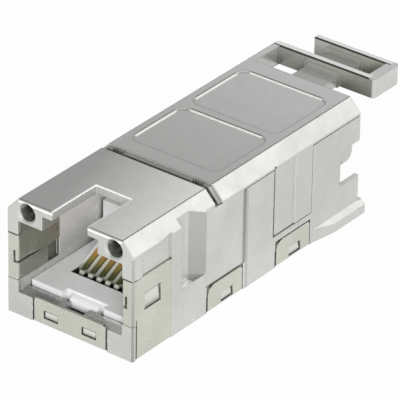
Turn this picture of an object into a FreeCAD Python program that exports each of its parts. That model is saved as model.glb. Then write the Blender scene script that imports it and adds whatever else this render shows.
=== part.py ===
import FreeCAD, Part
import math
import os
import Sketcher

os.makedirs("parts", exist_ok=True)

# Shielded network socket with screwless wiring, in millimetres.
# X runs across the socket, Y runs back from the mating face, Z points up from the underside.
# Everything is drawn with the mating face at Y = 0; each piece is then moved back by half the length.

SIZES = {
    # Outside of the die-cast body
    "body_width": 14.5,
    "body_height": 12.2,
    "body_length": 34.4,
    "bevel_width": 1.3,
    "bevel_drop": 1.38,
    "wall": 1.25,
    "roof": 0.9,
    # Clearances and the stock that the folded shield is cut from
    "seam": 0.1,
    "slip": 0.05,
    "sheet": 0.3,
    "sheet_bend": 0.2,
    "edge_round": 0.15,
    "run_out": 1.0,
    # Plug cavity
    "front_length": 12.08,
    "floor_level": 2.9,
    "latch_width": 4.08,
    "latch_length": 6.35,
    "ear_gap": 6.4,
    "ear_depth": 2.4,
    "ear_level": 9.84,
    "hole_spacing": 10.0,
    "hole_drop": 1.25,
    "hole_radius": 0.85,
    "hole_depth": 2.1,
    "hole_lead": 0.22,
    "beam_depth": 1.6,
    "beam_level": 2.4,
    "beam_gap": 2.2,
    "beam_gap_level": 0.95,
    "partition_place": 13.2,
    "partition_depth": 1.0,
    "shelf_depth": 0.8,
    "shelf_lap": 0.88,
    "shelf_margin": 0.6,
    # Side walls of the body
    "relief_start": 1.37,
    "relief_depth": 0.2,
    "relief_front_level": 10.45,
    "relief_rear_level": 10.95,
    "groove_start": 7.05,
    "groove_flat": 1.85,
    "groove_ramp": 1.8,
    "groove_depth": 0.67,
    "groove_level": 4.35,
    "panel_end": 16.5,
    "panel_depth": 0.12,
    "skirt_start": 20.9,
    "skirt_end": 27.0,
    "skirt_level": 3.35,
    "skirt_step_place": 24.25,
    "skirt_step": 0.12,
    "skirt_gap": 0.18,
    "notch_start": 31.4,
    "notch_level": 4.2,
    "notch_top": 7.95,
    "arm_thickness": 0.45,
    "foot_start": 27.3,
    "foot_end": 34.95,
    "foot_height": 0.45,
    "foot_reach": 0.5,
    "foot_taper": 3.0,
    "foot_rim": 0.9,
    "foot_lap": 0.3,
    "rear_floor": 1.2,
    "rear_floor_start": 28.9,
    "ledge_width": 0.8,
    "ledge_start": 15.0,
    "ledge_length": 12.0,
    # Folded shield
    "flap_height": 8.27,
    "flap_end": 5.6,
    "flap_step": 0.65,
    "wrap_level": 4.15,
    "leaf_end": 5.75,
    "leaf_level": 3.6,
    "leaf_slit_level": 5.35,
    "leaf_slit": 0.28,
    "leaf_bow": 0.3,
    "leaf_short_end": 4.3,
    "front_tab_width": 8.24,
    "tab_height": 2.62,
    "front_window_width": 1.7,
    "front_window_height": 0.85,
    "front_window_level": 0.7,
    "front_window_place": 2.2,
    "flap_window_start": 1.68,
    "flap_window_length": 2.4,
    "flap_window_level": 4.75,
    "flap_window_height": 1.85,
    "tab_start": 11.1,
    "tab_length": 5.15,
    "tab_pitch": 10.45,
    "tab_front_round": 1.0,
    "tab_rear_round": 0.4,
    "window_offset": 1.95,
    "window_length": 1.85,
    "window_level": 0.22,
    "window_height": 1.0,
    "tab_gap": 0.15,
    "fold_gap": 0.2,
    "nub_gap": 0.14,
    "nub_height": 0.22,
    "plate_edge": 0.6,
    # Rear cover
    "cover_gap": 1.0,
    "lip_length": 0.45,
    "lip_drop": 0.17,
    "lip_notch_start": 3.96,
    "lip_notch_end": 5.25,
    "cover_edge": 0.17,
    "cover_margin": 0.35,
    "panel_inset": 0.85,
    "recess_depth": 0.14,
    "recess_round": 1.0,
    "recess_one_start": 14.9,
    "recess_one_length": 8.1,
    "recess_two_start": 24.0,
    "recess_two_length": 8.35,
    "lug_thickness": 1.0,
    "lug_start": 31.7,
    "lug_length": 2.7,
    "lug_level": 5.6,
    "lug_bevel": 0.4,
    # Cable bracket behind the cover
    "bracket_reach": 8.1,
    "bracket_height": 2.0,
    "bar_thickness": 0.75,
    "bar_place": 3.95,
    "back_bar": 0.65,
    "right_arm": 1.15,
    "free_end": 2.35,
    "web_width": 3.7,
    "web_drop": 0.95,
    "web_thickness": 1.0,
    "boss_width": 4.0,
    "boss_depth": 0.4,
    "boss_drop": 0.4,
    "bracket_round": 0.4,
    # Insert that carries the spring contacts
    "carrier_start": 1.9,
    "carrier_plate": 1.25,
    "carrier_notch": 4.8,
    "carrier_notch_depth": 0.8,
    "carrier_lip": 3.2,
    "carrier_lip_reach": 0.9,
    "carrier_lip_round": 0.8,
    "carrier_lip_drop": 0.25,
    "carrier_back_place": 12.0,
    "carrier_back_level": 6.8,
    "carrier_back_width": 11.5,
    "window_width": 8.05,
    "window_start": 5.15,
    "comb_start": 6.43,
    "comb_angle": 25.0,
    "comb_level": 2.6,
    "comb_margin": 0.35,
    "comb_slot": 0.56,
    "rail_width": 0.9,
    "rail_end": 7.2,
    # Eight spring contacts
    "contact_pitch": 1.016,
    "contact_width": 0.46,
    "contact_thickness": 0.3,
    "bend_place": 6.6,
    "bend_radius": 0.6,
    "tail_end": 11.0,
    "rise_angle": 26.0,
    "rise_length": 5.6,
    # Circuit board and wire termination
    "board_width": 11.3,
    "board_start": 7.4,
    "board_end": 28.2,
    "board_thickness": 0.8,
    "block_start": 14.9,
    "block_end": 27.4,
    "block_width": 11.6,
    "block_height": 4.9,
    "blade_pitch": 3.0,
    "blade_row_one": 18.2,
    "blade_row_pitch": 6.0,
    "blade_width": 1.8,
    "blade_thickness": 0.4,
    "blade_height": 6.5,
    "blade_fork": 0.34,
    "blade_fork_depth": 1.6,
    "blade_mouth": 0.9,
    "manager_width": 10.4,
    "manager_end": 30.2,
    "channel_radius": 0.62,
    "channel_depth": 5.0,
    "channel_rise": 1.35,
    "channel_row_pitch": 1.7,
    "manager_round": 0.5,
}

CONTACT_COUNT = 8
BLADES_PER_ROW = 4
PLANE_ROLES = {"XY": "XY_Plane", "XZ": "XZ_Plane", "YZ": "YZ_Plane"}

doc = FreeCAD.newDocument("NetworkSocket")
sheet = doc.addObject("Spreadsheet::Sheet", "Sizes")
for row, (alias, number) in enumerate(SIZES.items(), start=1):
    sheet.set(f"A{row}", alias)
    sheet.set(f"B{row}", str(number))
    sheet.setAlias(f"B{row}", alias)
doc.recompute()


class Size:
    """A length that carries its number and the expression over the sheet that gives it."""

    def __init__(self, number, text):
        self.number = number
        self.text = text

    def __add__(self, other):
        other = as_size(other)
        return Size(self.number + other.number, f"({self.text} + {other.text})")

    def __sub__(self, other):
        other = as_size(other)
        return Size(self.number - other.number, f"({self.text} - {other.text})")

    def __mul__(self, factor):
        factor = as_size(factor)
        return Size(self.number * factor.number, f"({self.text} * {factor.text})")

    def __truediv__(self, factor):
        factor = as_size(factor)
        return Size(self.number / factor.number, f"({self.text} / {factor.text})")

    def __neg__(self):
        return Size(-self.number, f"(0 - {self.text})")

    def __radd__(self, other):
        return as_size(other) + self

    def __rsub__(self, other):
        return as_size(other) - self

    def __rmul__(self, other):
        return as_size(other) * self


def as_size(value):
    """Wrap a plain number so that it mixes with sizes from the sheet."""
    if isinstance(value, Size):
        return value
    return Size(float(value), f"{float(value):g}")


def size(alias):
    """Fetch one size of the sheet."""
    return Size(float(sheet.get(alias)), f"Sizes.{alias}")


def sine(alias):
    """Sine of an angle of the sheet, in degrees."""
    angle = size(alias)
    return Size(math.sin(math.radians(angle.number)), f"sin({angle.text})")


def cosine(alias):
    """Cosine of an angle of the sheet, in degrees."""
    angle = size(alias)
    return Size(math.cos(math.radians(angle.number)), f"cos({angle.text})")


def tangent(alias):
    """Tangent of an angle of the sheet, in degrees."""
    angle = size(alias)
    return Size(math.tan(math.radians(angle.number)), f"tan({angle.text})")


ZERO = as_size(0)
RUN_OUT = size("run_out")
SHEET = size("sheet")
SEAM = size("seam")
SLIP = size("slip")
HALF_WIDTH = size("body_width") / 2
TOP = size("body_height")
REAR = size("body_length")
OVERALL_LENGTH = REAR + size("bracket_reach")
TOP_HALF = HALF_WIDTH - size("bevel_width")
BEVEL_LEVEL = TOP - size("bevel_drop")
CAVITY_HALF = HALF_WIDTH - size("wall")
ROOF_UNDERSIDE = TOP - size("roof")
COVER_EDGE_LEVEL = BEVEL_LEVEL - size("cover_edge")
WALL_TOP = COVER_EDGE_LEVEL - SEAM
COVER_START = size("front_length") + size("cover_gap")
COVER_UNDERSIDE = ROOF_UNDERSIDE + SLIP
PARTITION_REAR = size("partition_place") + size("partition_depth")
BOARD_TOP = size("floor_level") - size("carrier_plate") - SLIP
BOARD_BOTTOM = BOARD_TOP - size("board_thickness")
GROOVE_FLOOR_END = size("groove_start") + size("groove_flat")
GROOVE_END = GROOVE_FLOOR_END + size("groove_ramp")
FRONT_TAB_HALF = size("front_tab_width") / 2
PLATE_SEAT_HALF = HALF_WIDTH - size("plate_edge")
PLATE_HALF = PLATE_SEAT_HALF - SLIP
BLOCK_BOTTOM = BOARD_TOP + SLIP
BLOCK_TOP = BLOCK_BOTTOM + size("block_height")


def new_body(label):
    """Start a solid whose frame stands half the overall length behind the mating face."""
    body = doc.addObject("PartDesign::Body", label)
    body.Label = label
    body.setExpression("Placement.Base.y", (-OVERALL_LENGTH / 2).text)
    return body


def origin_plane(body, plane):
    """Find one of the body's own origin planes."""
    for feature in body.Origin.OriginFeatures:
        if feature.Role == PLANE_ROLES[plane]:
            return feature
    raise ValueError(f"{body.Label} has no {plane} plane")


def new_sketch(body, name, plane, at):
    """Place an empty sketch across the body's frame at a distance from its origin."""
    sketch = body.newObject("Sketcher::SketchObject", f"{body.Label}_{name}_sketch")
    sketch.AttachmentSupport = (origin_plane(body, plane), [""])
    sketch.MapMode = "FlatFace"
    offset = -at if plane == "XZ" else at
    sketch.setExpression("AttachmentOffset.Base.z", offset.text)
    return sketch


def pin_point(sketch, geometry, point, x, y):
    """Tie one point of a sketch to its two coordinates."""
    for kind, coordinate in (("DistanceX", x), ("DistanceY", y)):
        rule = Sketcher.Constraint(kind, -1, 1, geometry, point, coordinate.number)
        index = sketch.addConstraint(rule)
        sketch.setExpression(f"Constraints[{index}]", coordinate.text)


def draw_outline(sketch, corners):
    """Draw a closed outline of straight lines through the corners."""
    corners = [(as_size(x), as_size(y)) for x, y in corners]
    points = [FreeCAD.Vector(x.number, y.number, 0) for x, y in corners]
    count = len(points)
    lines = [sketch.addGeometry(Part.LineSegment(points[index], points[(index + 1) % count]), False)
             for index in range(count)]
    for index, line in enumerate(lines):
        following = lines[(index + 1) % count]
        sketch.addConstraint(Sketcher.Constraint("Coincident", line, 2, following, 1))
    for line, (x, y) in zip(lines, corners):
        pin_point(sketch, line, 1, x, y)


def draw_circle(sketch, x, y, radius):
    """Draw a circle tied to its centre and radius."""
    x, y, radius = as_size(x), as_size(y), as_size(radius)
    circle = Part.Circle(FreeCAD.Vector(x.number, y.number, 0), FreeCAD.Vector(0, 0, 1), radius.number)
    geometry = sketch.addGeometry(circle, False)
    pin_point(sketch, geometry, 3, x, y)
    index = sketch.addConstraint(Sketcher.Constraint("Radius", geometry, radius.number))
    sketch.setExpression(f"Constraints[{index}]", radius.text)


def draw_axis(sketch, ends):
    """Draw the construction line that a profile is turned round."""
    ends = [(as_size(x), as_size(y)) for x, y in ends]
    line = Part.LineSegment(*[FreeCAD.Vector(x.number, y.number, 0) for x, y in ends])
    geometry = sketch.addGeometry(line, True)
    for point, (x, y) in enumerate(ends, start=1):
        pin_point(sketch, geometry, point, x, y)


def rectangle(left, right, low, high):
    """Corners of a rectangle, in order."""
    return [(left, low), (right, low), (right, high), (left, high)]


def finish_feature(body, feature, sketch, length):
    """Give a pad or pocket its profile and length, and check that it changed the solid."""
    before = body.Shape.Volume if not body.Shape.isNull() else 0.0
    feature.Profile = sketch
    feature.setExpression("Length", as_size(length).text)
    body.Tip = feature
    doc.recompute()
    if abs(body.Shape.Volume - before) < 1e-6:
        raise ValueError(f"{feature.Name} changed nothing: {feature.getStatusString()}")
    return feature


def add(body, name, plane, start, end, corners):
    """Add material between two places along the plane's normal, inside an outline."""
    start, end = as_size(start), as_size(end)
    sketch = new_sketch(body, name, plane, start)
    draw_outline(sketch, corners)
    pad = body.newObject("PartDesign::Pad", f"{body.Label}_{name}")
    pad.Reversed = plane == "XZ"
    return finish_feature(body, pad, sketch, end - start)


def cut(body, name, plane, start, end, *outlines):
    """Remove material between two places along the plane's normal, inside one or more outlines."""
    start, end = as_size(start), as_size(end)
    sketch = new_sketch(body, name, plane, start)
    for corners in outlines:
        draw_outline(sketch, corners)
    pocket = body.newObject("PartDesign::Pocket", f"{body.Label}_{name}")
    pocket.Reversed = plane != "XZ"
    return finish_feature(body, pocket, sketch, end - start)


def add_disc(body, name, plane, start, end, centre, radius):
    """Add a round boss between two places along the plane's normal."""
    start, end = as_size(start), as_size(end)
    sketch = new_sketch(body, name, plane, start)
    draw_circle(sketch, *centre, radius)
    pad = body.newObject("PartDesign::Pad", f"{body.Label}_{name}")
    pad.Reversed = plane == "XZ"
    return finish_feature(body, pad, sketch, end - start)


def drill(body, name, plane, start, end, centres, radius):
    """Drill round holes between two places along the plane's normal."""
    start, end = as_size(start), as_size(end)
    sketch = new_sketch(body, name, plane, start)
    for x, y in centres:
        draw_circle(sketch, x, y, radius)
    pocket = body.newObject("PartDesign::Pocket", f"{body.Label}_{name}")
    pocket.Reversed = plane != "XZ"
    return finish_feature(body, pocket, sketch, end - start)


def turn(body, name, sketch, angle):
    """Add the profile of a sketch, turned by an angle round the sketch's own construction line."""
    turned = body.newObject("PartDesign::Revolution", f"{body.Label}_{name}")
    turned.Profile = sketch
    turned.ReferenceAxis = (sketch, ["Axis0"])
    turned.setExpression("Angle", angle.text)
    body.Tip = turned
    doc.recompute()
    return turned


def mirror(body, name, features):
    """Repeat features on the other side of the middle plane."""
    mirrored = body.newObject("PartDesign::Mirrored", f"{body.Label}_{name}")
    mirrored.Originals = features
    mirrored.MirrorPlane = (origin_plane(body, "YZ"), [""])
    body.Tip = mirrored
    doc.recompute()
    return mirrored


def edges_along(body, axis, spots):
    """Name the straight edges of the solid that run along an axis through the given spots.

    A spot gives the other two coordinates in X, Y, Z order.
    """
    near = 1e-4
    others = [index for index in range(3) if index != "XYZ".index(axis)]
    feature = body.Tip
    names = []
    for number, edge in enumerate(feature.Shape.Edges, start=1):
        if edge.Degenerated or edge.Curve.TypeId != "Part::GeomLine":
            continue
        first, last = edge.Vertexes[0].Point, edge.Vertexes[-1].Point
        if any(abs(first[index] - last[index]) > near for index in others):
            continue
        for spot in spots:
            gaps = [abs(first[index] - as_size(value).number) for index, value in zip(others, spot)]
            if max(gaps) < near:
                names.append(f"Edge{number}")
                break
    return names


def mouth_edges(body):
    """Name the edges of the solid that lie in the mating face, clear of the underside."""
    near = 1e-4
    names = []
    for number, edge in enumerate(body.Tip.Shape.Edges, start=1):
        box = edge.BoundBox
        if max(abs(box.YMin), abs(box.YMax)) < near and box.ZMax > near:
            names.append(f"Edge{number}")
    return names


def round_rims(body, axis, places, radius):
    """Name the round edges of the solid with a given radius round an axis, at given places along it."""
    near = 1e-4
    along = "XYZ".index(axis)
    names = []
    for number, edge in enumerate(body.Tip.Shape.Edges, start=1):
        if edge.Degenerated or edge.Curve.TypeId != "Part::GeomCircle":
            continue
        gaps = [abs(edge.Curve.Center[along] - as_size(place).number) for place in places]
        if min(gaps) < near and abs(edge.Curve.Radius - radius.number) < near:
            names.append(f"Edge{number}")
    return names


def soften(body, name, kind, edges, amount):
    """Round or bevel the named edges of the solid."""
    if not edges:
        raise ValueError(f"{body.Label} has no edges for {name}")
    base = body.Tip
    feature = body.newObject(f"PartDesign::{kind}", f"{body.Label}_{name}")
    feature.Base = (base, edges)
    feature.setExpression("Radius" if kind == "Fillet" else "Size", as_size(amount).text)
    body.Tip = feature
    doc.recompute()
    if "Invalid" in feature.State:
        raise ValueError(f"{feature.Name} failed: {feature.getStatusString()}")
    return feature


def both_sides(half_width):
    """Left and right values of something that is centred across the socket."""
    half_width = as_size(half_width)
    return -half_width, half_width


def housing_shell(body):
    """Cast block with bevelled top edges, open below, in front and behind the front part."""
    left, right = both_sides(HALF_WIDTH)
    top_left, top_right = both_sides(TOP_HALF)
    section = [
        (left, 0),
        (right, 0),
        (right, BEVEL_LEVEL),
        (top_right, TOP),
        (top_left, TOP),
        (left, BEVEL_LEVEL),
    ]
    add(body, "shell", "XZ", 0, REAR, section)
    ridges = [(x, z) for x, z in section if as_size(z).number > 0]
    soften(body, "ridge_rounds", "Fillet", edges_along(body, "Y", ridges), size("edge_round"))
    soften(body, "mouth_rounds", "Fillet", mouth_edges(body), size("edge_round"))

    across = both_sides(HALF_WIDTH + RUN_OUT)
    rear = REAR + RUN_OUT
    cut(body, "cover_seat", "XZ", size("front_length"), rear, rectangle(*across, WALL_TOP, TOP + RUN_OUT))

    front = -RUN_OUT
    beam_back, floor_step = size("beam_depth"), size("rear_floor_start")
    hollow = [
        (front, size("beam_level")),
        (beam_back, size("beam_level")),
        (beam_back, front),
        (floor_step, front),
        (floor_step, size("rear_floor")),
        (rear, size("rear_floor")),
        (rear, ROOF_UNDERSIDE),
        (front, ROOF_UNDERSIDE),
    ]
    cut(body, "hollow", "YZ", *both_sides(CAVITY_HALF), hollow)


def housing_partition(body):
    """Cross wall behind the plug cavity, and the shelf that ties it to the roof below the cover's lip."""
    across = both_sides(CAVITY_HALF + size("wall") / 2)
    low = BOARD_TOP + SLIP
    start = size("partition_place")
    add(body, "partition", "XZ", start, PARTITION_REAR, rectangle(*across, low, WALL_TOP - SEAM))
    across = both_sides(TOP_HALF - size("shelf_margin"))
    low = ROOF_UNDERSIDE - size("shelf_depth")
    start = size("front_length") - size("shelf_lap")
    add(body, "shelf", "XZ", start, PARTITION_REAR, rectangle(*across, low, ROOF_UNDERSIDE))


def housing_ears(body):
    """Latch slot through the roof, with a drilled ear on each side of its mouth."""
    inner = size("ear_gap") / 2
    outer = CAVITY_HALF + size("wall") / 2
    high = ROOF_UNDERSIDE + SLIP
    ear = add(body, "ear", "XZ", 0, size("ear_depth"), rectangle(inner, outer, size("ear_level"), high))
    mirror(body, "ears", [ear])
    slot = both_sides(size("latch_width") / 2)
    cut(body, "latch_slot", "XY", ROOF_UNDERSIDE - RUN_OUT, TOP + RUN_OUT,
        rectangle(*slot, -RUN_OUT, size("latch_length")))
    centres = [(x, TOP - size("hole_drop")) for x in both_sides(size("hole_spacing") / 2)]
    drill(body, "ear_holes", "XZ", -RUN_OUT, size("hole_depth"), centres, size("hole_radius"))
    rims = round_rims(body, "Y", [ZERO], size("hole_radius"))
    soften(body, "ear_hole_leads", "Chamfer", rims, size("hole_lead"))


def housing_front(body):
    """Beam across the bottom of the mouth, with a seat for the front tab and two nubs that hold it."""
    half = FRONT_TAB_HALF + size("fold_gap")
    cut(body, "front_tab_seat", "XZ", -RUN_OUT, SHEET,
        rectangle(*both_sides(half), -RUN_OUT, size("tab_height") + RUN_OUT))
    gap = both_sides(size("beam_gap") / 2)
    cut(body, "beam_gap", "XZ", -RUN_OUT, size("beam_depth") + RUN_OUT,
        rectangle(*gap, size("beam_gap_level"), size("beam_level") + RUN_OUT))
    middle = size("front_window_place")
    half = size("front_window_width") / 2 - size("nub_gap")
    low = size("front_window_level") + size("nub_gap")
    high = size("front_window_level") + size("front_window_height") - size("nub_gap")
    proud = SHEET - size("nub_height")
    wedge = [(proud, low), (SHEET + SHEET, low), (SHEET + SHEET, high), (proud + SLIP, high)]
    nub = add(body, "front_nub", "YZ", middle - half, middle + half, wedge)
    mirror(body, "front_nubs", [nub])


def housing_side_cuts(body):
    """Seats for the folded shield, panel steps, guide groove and cover skirt gap in the right wall."""
    outside = HALF_WIDTH + RUN_OUT
    seat = HALF_WIDTH - SHEET
    below = -RUN_OUT
    flap_top = size("flap_height") + SLIP
    flap_rear = size("flap_end") + SLIP
    step = size("flap_step") - size("fold_gap")
    flap = [
        (step, below),
        (flap_rear, below),
        (flap_rear, flap_top),
        (below, flap_top),
        (below, size("leaf_level")),
        (step, size("leaf_level")),
    ]
    features = [cut(body, "flap_seat", "YZ", seat, outside, flap)]
    features.append(cut(body, "flap_fold_seat", "XY", -RUN_OUT, SHEET,
                        rectangle(PLATE_SEAT_HALF, outside, step, flap_rear)))
    leaf = CAVITY_HALF + SHEET
    features.append(cut(body, "leaf_seat", "YZ", CAVITY_HALF - RUN_OUT, leaf,
                        rectangle(below, size("leaf_end") + size("tab_gap"), size("leaf_level"), flap_top)))
    features.append(cut(body, "wrap_seat", "YZ", CAVITY_HALF - RUN_OUT, outside,
                        rectangle(below, SHEET, size("leaf_level"), flap_top)))
    relief = [
        (size("relief_start"), flap_top - SHEET),
        (flap_rear, flap_top - SHEET),
        (flap_rear, size("relief_rear_level")),
        (size("relief_start"), size("relief_front_level")),
    ]
    features.append(cut(body, "relief", "YZ", HALF_WIDTH - size("relief_depth"), outside, relief))

    groove = [
        (outside, size("groove_start")),
        (HALF_WIDTH - size("groove_depth"), size("groove_start")),
        (HALF_WIDTH - size("groove_depth"), GROOVE_FLOOR_END),
        (HALF_WIDTH, GROOVE_END),
        (outside, GROOVE_END),
    ]
    features.append(cut(body, "groove", "XY", size("groove_level"), TOP + RUN_OUT, groove))
    features.append(cut(body, "panel", "YZ", HALF_WIDTH - size("panel_depth"), outside,
                        rectangle(GROOVE_END, size("panel_end"), size("tab_height") + size("tab_gap"),
                                  TOP + RUN_OUT)))
    features.append(cut(body, "skirt_gap", "YZ", CAVITY_HALF - RUN_OUT, outside,
                        rectangle(size("skirt_start"), size("skirt_end"), size("skirt_level"), TOP)))
    for number in range(2):
        start = size("tab_start") + size("tab_pitch") * number - size("fold_gap")
        end = start + size("fold_gap") + size("tab_length") + size("tab_gap")
        high = size("tab_height") + size("tab_gap")
        fold = [
            (PLATE_SEAT_HALF, below),
            (outside, below),
            (outside, high),
            (seat, high),
            (seat, SHEET),
            (PLATE_SEAT_HALF, SHEET),
        ]
        features.append(cut(body, f"tab_seat_{number + 1}", "XZ", start, end, fold))
    return features


def housing_side_nubs(body):
    """Wedges on the right wall that snap into the windows of the folded shield."""
    seat = HALF_WIDTH - SHEET
    gap = size("nub_gap")
    proud = seat + size("nub_height")
    features = []
    starts = [size("tab_start") + size("tab_pitch") * number + size("window_offset") for number in range(2)]
    low, high = size("window_level"), size("window_level") + size("window_height")
    windows = [(start, size("window_length"), low, high) for start in starts]
    low = size("flap_window_level")
    high = low + size("flap_window_height")
    windows.append((size("flap_window_start"), size("flap_window_length"), low, high))
    for number, (start, length, low, high) in enumerate(windows, start=1):
        wedge = [
            (seat - SHEET, low + gap),
            (proud, low + gap),
            (seat + SLIP, high - gap),
            (seat - SHEET, high - gap),
        ]
        features.append(add(body, f"side_nub_{number}", "XZ", start + gap, start + length - gap, wedge))
    return features


def housing_rear(body):
    """Foot plate, board ledges and the open claw at the rear end of each side wall."""
    start, end = size("foot_start"), size("foot_end")
    add(body, "foot", "XY", 0, size("foot_height"), rectangle(*both_sides(HALF_WIDTH), start, end))
    outside = HALF_WIDTH + RUN_OUT
    inner, reach = HALF_WIDTH - size("foot_lap"), size("foot_reach")
    plan = [
        (inner, start),
        (HALF_WIDTH, start),
        (HALF_WIDTH + reach, start + size("foot_taper")),
        (HALF_WIDTH + reach, end),
        (inner, end),
    ]
    high = size("foot_rim") + reach
    flange = add(body, "flange", "XY", 0, high, plan)
    above = [(HALF_WIDTH, high), (outside, high), (outside, high - RUN_OUT)]
    slope = cut(body, "flange_slope", "XZ", start - RUN_OUT, end + RUN_OUT, above)
    rear = REAR + RUN_OUT
    arm_inner = HALF_WIDTH - size("arm_thickness")
    pocket = cut(body, "lug_pocket", "XY", size("rear_floor"), TOP,
                 rectangle(CAVITY_HALF - RUN_OUT, arm_inner, size("notch_start") - SHEET, rear))
    notch = cut(body, "claw", "YZ", CAVITY_HALF - RUN_OUT, outside,
                rectangle(size("notch_start"), rear, size("notch_level"), size("notch_top")))
    start, end = size("ledge_start"), size("ledge_start") + size("ledge_length")
    ledge = add(body, "ledge", "XY", SHEET, BOARD_BOTTOM,
                rectangle(CAVITY_HALF - size("ledge_width"), CAVITY_HALF + size("wall") / 2, start, end))
    return [flange, slope, pocket, notch, ledge]


def housing_plate_seat(body):
    """Shallow seat for the bottom of the folded shield, between the lower edges of the side walls."""
    step = size("flap_step") - size("fold_gap")
    front = both_sides(FRONT_TAB_HALF + size("fold_gap"))
    cut(body, "plate_seat_front", "XY", -RUN_OUT, SHEET, rectangle(*front, -RUN_OUT, step + RUN_OUT))
    cut(body, "plate_seat", "XY", -RUN_OUT, SHEET,
        rectangle(*both_sides(PLATE_SEAT_HALF), step, size("foot_start") - SEAM))


def make_housing():
    """Die-cast body: one piece from the drilled ears to the open claws at the rear."""
    body = new_body("housing")
    housing_shell(body)
    housing_partition(body)
    housing_ears(body)
    cuts = housing_side_cuts(body)
    mirror(body, "side_cuts", cuts)
    housing_front(body)
    nubs = housing_side_nubs(body)
    mirror(body, "side_nubs", nubs)
    rear = housing_rear(body)
    mirror(body, "rear_details", rear)
    housing_plate_seat(body)
    return body


def cover_section(inset, rim):
    """Section of the cover: flat top, bevelled edges above a low rim, and a hollow underside."""
    half = HALF_WIDTH - inset
    shoulder = TOP_HALF - inset / 2
    outer = [(half, COVER_EDGE_LEVEL), (half, COVER_EDGE_LEVEL + rim), (shoulder, TOP - inset)]
    inner = [(TOP_HALF - size("cover_margin"), COVER_UNDERSIDE), (CAVITY_HALF + SLIP, COVER_EDGE_LEVEL)]
    mirrored_outer = [(-x, z) for x, z in reversed(outer)]
    mirrored_inner = [(-x, z) for x, z in reversed(inner)]
    return outer + mirrored_outer + mirrored_inner + inner


def cover_lip(body):
    """Lowered lip along the front of the cover, with a notch near each end."""
    lip = cover_section(size("lip_drop"), size("cover_edge") / 2)
    start = COVER_START - size("lip_length")
    add(body, "lip", "XZ", start, COVER_START + SLIP, lip)
    notch = cut(body, "lip_notch", "XY", COVER_UNDERSIDE - RUN_OUT, TOP,
                rectangle(size("lip_notch_start"), size("lip_notch_end"), start - RUN_OUT, COVER_START))
    mirror(body, "lip_notches", [notch])


def cover_skirts(body):
    """Skirt in each side wall's gap, in two slightly stepped bands, and the snap lug behind it."""
    inner = CAVITY_HALF + SLIP
    outer = HALF_WIDTH
    start, end = size("skirt_start") + size("skirt_gap"), size("skirt_end") - SEAM
    step = size("skirt_step_place")
    low = size("skirt_level") + SEAM
    bands = [
        (inner, start),
        (outer - size("skirt_step"), start),
        (outer - size("skirt_step"), step),
        (outer, step),
        (outer, end),
        (inner, end),
    ]
    skirt = add(body, "skirt", "XY", low, BEVEL_LEVEL, bands)
    right = HALF_WIDTH - size("arm_thickness") - SEAM
    left = right - size("lug_thickness")
    radius = size("lug_length") / 2
    centre = size("lug_start") + radius, size("lug_level") + radius
    lug = add(body, "lug", "YZ", left, right,
              rectangle(size("lug_start"), size("lug_start") + size("lug_length"), centre[1], BEVEL_LEVEL))
    end = add_disc(body, "lug_end", "YZ", left, right, centre, radius)
    mirror(body, "skirts", [skirt, lug, end])
    rims = round_rims(body, "X", both_sides(right), radius)
    soften(body, "lug_bevels", "Chamfer", rims, size("lug_bevel"))


def cover_recesses(body):
    """Two shallow recessed panels with rounded corners in the top."""
    across = both_sides(TOP_HALF - size("panel_inset"))
    floor = TOP - size("recess_depth")
    for name in ("one", "two"):
        start = size(f"recess_{name}_start")
        end = start + size(f"recess_{name}_length")
        cut(body, f"recess_{name}", "XY", floor, TOP + RUN_OUT, rectangle(*across, start, end))
        corners = [(x, y) for x in across for y in (start, end)]
        soften(body, f"recess_{name}_rounds", "Fillet", edges_along(body, "Z", corners), size("recess_round"))


def cover_bracket(body):
    """Open S of bars behind the cover, joined by two low webs, that a cable tie loops round."""
    left, right = both_sides(TOP_HALF)
    low = TOP - size("bracket_height")
    root = REAR - RUN_OUT
    bar_front = REAR + size("bar_place")
    bar_rear = bar_front + size("bar_thickness")
    back_rear = OVERALL_LENGTH
    back_front = back_rear - size("back_bar")
    arm_inner = right - size("right_arm")
    free_end = left + size("free_end")
    bars = [
        (left, REAR - SEAM),
        (left, bar_rear),
        (arm_inner, bar_rear),
        (arm_inner, back_front),
        (free_end, back_front),
        (free_end, back_rear),
        (right, back_rear),
        (right, bar_front),
        (left + size("bar_thickness"), bar_front),
        (left + size("bar_thickness"), REAR - SEAM),
    ]
    add(body, "bars", "XY", low, TOP, bars)
    web_top = TOP - size("web_drop")
    web_low = web_top - size("web_thickness")
    across = both_sides(size("web_width") / 2)
    wide = both_sides(size("boss_width") / 2)
    boss_top = TOP - size("boss_drop")
    for number, (start, bar) in enumerate(((root, bar_front), (bar_rear, back_front)), start=1):
        boss = bar - size("boss_depth")
        add(body, f"boss_{number}", "XY", low, boss_top, rectangle(*wide, boss, bar + SLIP))
        add(body, f"web_{number}", "XY", web_low, web_top, rectangle(*across, start - SLIP, boss + SLIP))
    soften(body, "bracket_rounds", "Fillet",
           edges_along(body, "Z", [(right, bar_front), (right, back_rear), (left, bar_rear)]),
           size("bracket_round"))


def make_rear_cover():
    """Die-cast cover over the wiring space, cast in one piece with the cable bracket."""
    body = new_body("rear_cover")
    add(body, "top", "XZ", COVER_START, REAR, cover_section(ZERO, size("cover_edge")))
    ridges = [(x, TOP) for x in both_sides(TOP_HALF)] + [(x, BEVEL_LEVEL) for x in both_sides(HALF_WIDTH)]
    soften(body, "ridge_rounds", "Fillet", edges_along(body, "Y", ridges), size("edge_round"))
    cover_lip(body)
    cover_skirts(body)
    cover_bracket(body)
    cover_recesses(body)
    return body


def folded_side(body, name, start, length, height):
    """Tab folded up from the bottom plate against the right wall."""
    inner, outer = HALF_WIDTH - SHEET, HALF_WIDTH
    root = PLATE_HALF - SLIP
    fold = [(root, 0), (outer, 0), (outer, height), (inner, height), (inner, SHEET), (root, SHEET)]
    return add(body, name, "XZ", start, start + length, fold)


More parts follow.
